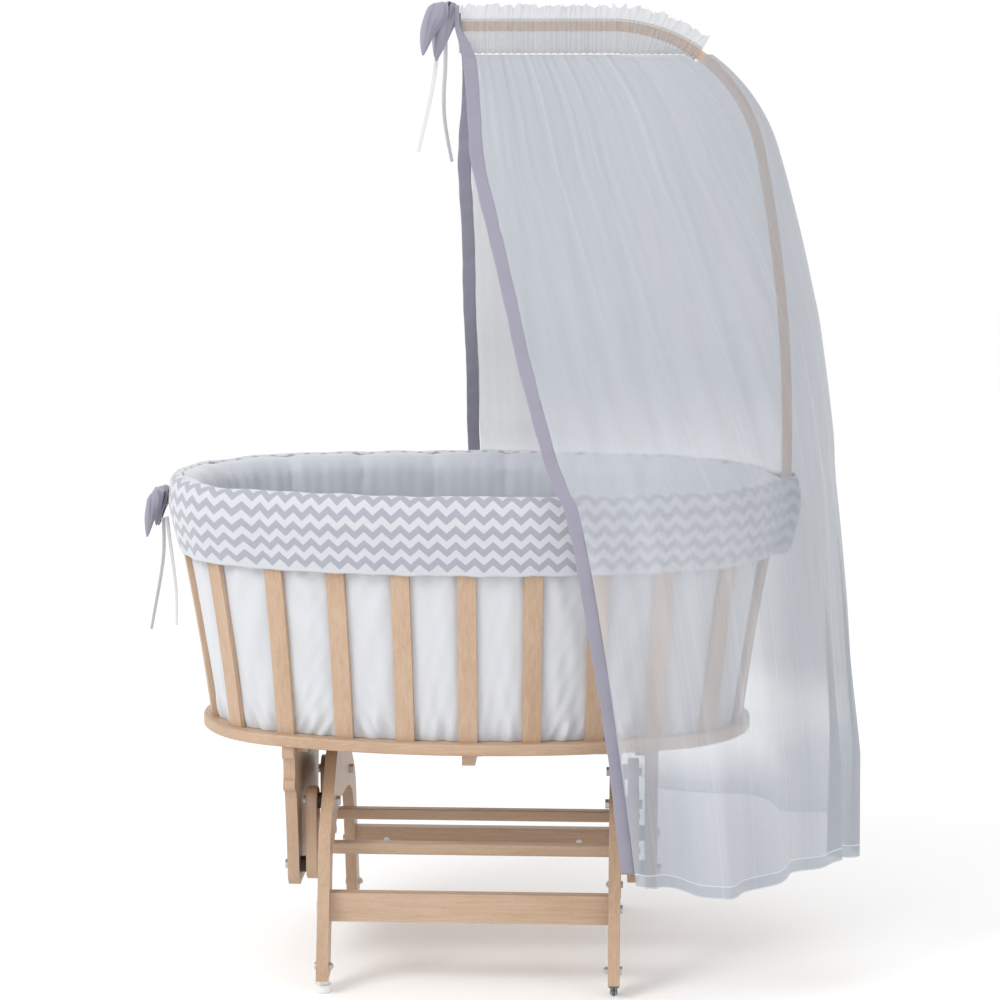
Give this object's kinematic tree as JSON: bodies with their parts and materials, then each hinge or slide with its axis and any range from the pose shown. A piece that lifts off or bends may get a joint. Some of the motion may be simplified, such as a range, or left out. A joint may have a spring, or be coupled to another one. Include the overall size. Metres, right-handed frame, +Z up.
{
  "type": "gliding bassinet with canopy",
  "caption": "Oval slatted bassinet with padded fabric liner, hung by four links from a two-arch glider stand, with a bent canopy pole and a sheer net.",
  "frame": {"origin": "on the floor, under the middle of the whole object", "axes": "+X along the basket towards the canopy pole, +Y to the rear, +Z up"},
  "size_m": [1.112, 0.604, 1.49],
  "materials": {
    "beech": "satin lacquered pale beech, laminated edges",
    "steel": "zinc plated",
    "black_plastic": "matte",
    "white_plastic": "satin",
    "grey_plastic": "satin",
    "wheel_rubber": "matte",
    "white_cotton": "plain cotton, a few creases",
    "blue_grey_satin": "soft padded satin cotton",
    "chevron_cotton": "white cotton printed with grey zigzags",
    "lilac_grey_cotton": "plain cotton trim",
    "tulle": "sheer white tulle",
    "white_ribbon": "narrow white tape"
  },
  "bodies": {
    "cradle": {"base_board": "beech", "bumper": "blue_grey_satin", "canopy_bow": "lilac_grey_cotton", "canopy_pole": "beech", "canopy_tie_a": "white_ribbon", "canopy_tie_b": "white_ribbon", "chevron_band": "chevron_cotton", "cross_batten": "beech", "end_slat": "beech", "far_trim": "lilac_grey_cotton", "hanger_cleats": "beech", "left_hanger_board": "beech", "liner": "white_cotton", "lower_pivot_bolts": "steel", "lower_spacers": "black_plastic", "mattress": "white_cotton", "near_trim": "lilac_grey_cotton", "net_casing": "tulle", "net_end": "tulle", "net_far": "tulle", "net_near": "tulle", "net_ruffle": "tulle", "pole_block": "beech", "pole_screws": "steel", "right_hanger_board": "beech", "rim_bow": "lilac_grey_cotton", "rim_ring": "beech", "rim_tie_a": "white_ribbon", "rim_tie_b": "white_ribbon", "slats_middle": "beech", "slats_ring_1": "beech", "slats_ring_2": "beech", "slats_ring_3": "beech", "slats_ring_4": "beech", "slats_ring_5": "beech"},
    "stand": {"castor_sockets": "grey_plastic", "foot_bolts": "steel", "front_rail": "beech", "glides": "white_plastic", "left_arch": "beech", "rail_bolts": "steel", "rear_rail": "beech", "right_arch": "beech", "upper_pivot_bolts": "steel", "upper_spacers": "black_plastic"},
    "front_castor": {"front_castor_axle": "steel", "front_castor_fork": "grey_plastic"},
    "front_wheel": {"front_castor_wheel": "wheel_rubber"},
    "front_swing": {"front_left_link": "beech", "front_right_link": "beech", "front_stretcher": "beech", "front_stretcher_screws": "steel"},
    "rear_castor": {"rear_castor_axle": "steel", "rear_castor_fork": "grey_plastic"},
    "rear_wheel": {"rear_castor_wheel": "wheel_rubber"},
    "rear_swing": {"rear_left_link": "beech", "rear_right_link": "beech", "rear_stretcher": "beech", "rear_stretcher_screws": "steel"}
  },
  "joints": [
    {"name": "glide", "type": "hinge", "parent": "stand", "child": "front_swing", "pos_m": [-0.042, -0.102, 0.266], "axis": [1, 0, 0], "range_deg": [-15, 15]},
    {"name": "rear_glide", "type": "hinge", "parent": "stand", "child": "rear_swing", "pos_m": [-0.042, 0.102, 0.266], "axis": [1, 0, 0], "range_deg": [-15, 15]},
    {"name": "cradle_level", "type": "hinge", "parent": "front_swing", "child": "cradle", "pos_m": [-0.042, -0.102, 0.164], "axis": [1, 0, 0], "range_deg": [-15, 15]},
    {"name": "front_castor_swivel", "type": "hinge", "parent": "stand", "child": "front_castor", "pos_m": [0.179, -0.227, 0.02], "axis": [0, 0, 1], "continuous": true},
    {"name": "rear_castor_swivel", "type": "hinge", "parent": "stand", "child": "rear_castor", "pos_m": [0.179, 0.227, 0.02], "axis": [0, 0, 1], "continuous": true},
    {"name": "front_wheel_spin", "type": "hinge", "parent": "front_castor", "child": "front_wheel", "pos_m": [0.179, -0.224, 0.0065], "axis": [1, 0, 0], "continuous": true},
    {"name": "rear_wheel_spin", "type": "hinge", "parent": "rear_castor", "child": "rear_wheel", "pos_m": [0.179, 0.23, 0.0065], "axis": [1, 0, 0], "continuous": true}
  ],
  "couplings": [
    {"joint": "rear_glide", "follows": "glide", "ratio": 1},
    {"joint": "cradle_level", "follows": "glide", "ratio": -1}
  ]
}
